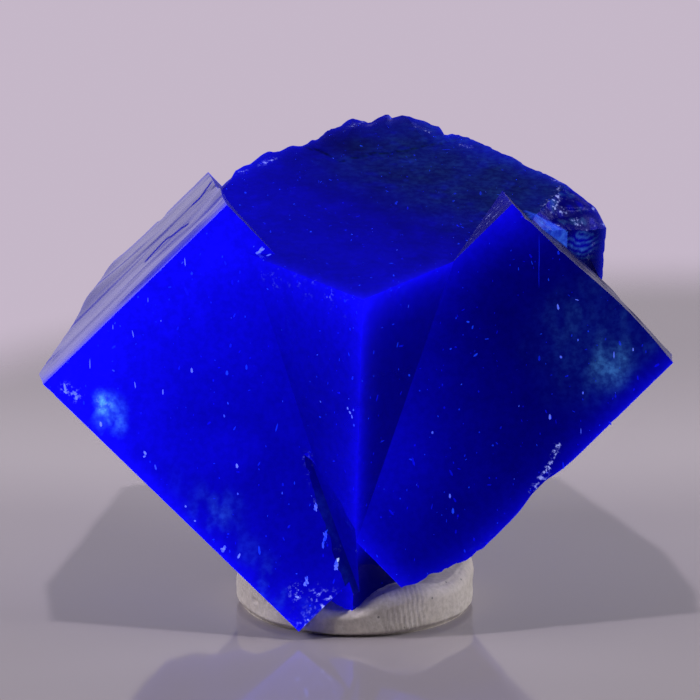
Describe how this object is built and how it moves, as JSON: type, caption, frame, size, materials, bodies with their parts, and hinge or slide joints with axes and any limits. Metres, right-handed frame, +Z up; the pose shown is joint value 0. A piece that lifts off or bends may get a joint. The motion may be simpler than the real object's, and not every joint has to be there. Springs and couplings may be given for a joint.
{
  "type": "fluorite specimen",
  "caption": "Twinned fluorite cubes grown through one another, translucent blue, standing on a low disc of pale mounting putty.",
  "frame": {"origin": "middle of the putty pad's flat underside", "axes": "+Z up, -Y towards the side the specimen is shown from, +X to the viewer's right"},
  "size_m": [0.0442, 0.0365, 0.0303],
  "materials": {
    "fluorite": "polished",
    "putty": "matte"
  },
  "bodies": {
    "root": {"fluorite_crystals": "fluorite", "putty_pad": "putty"}
  },
  "joints": []
}
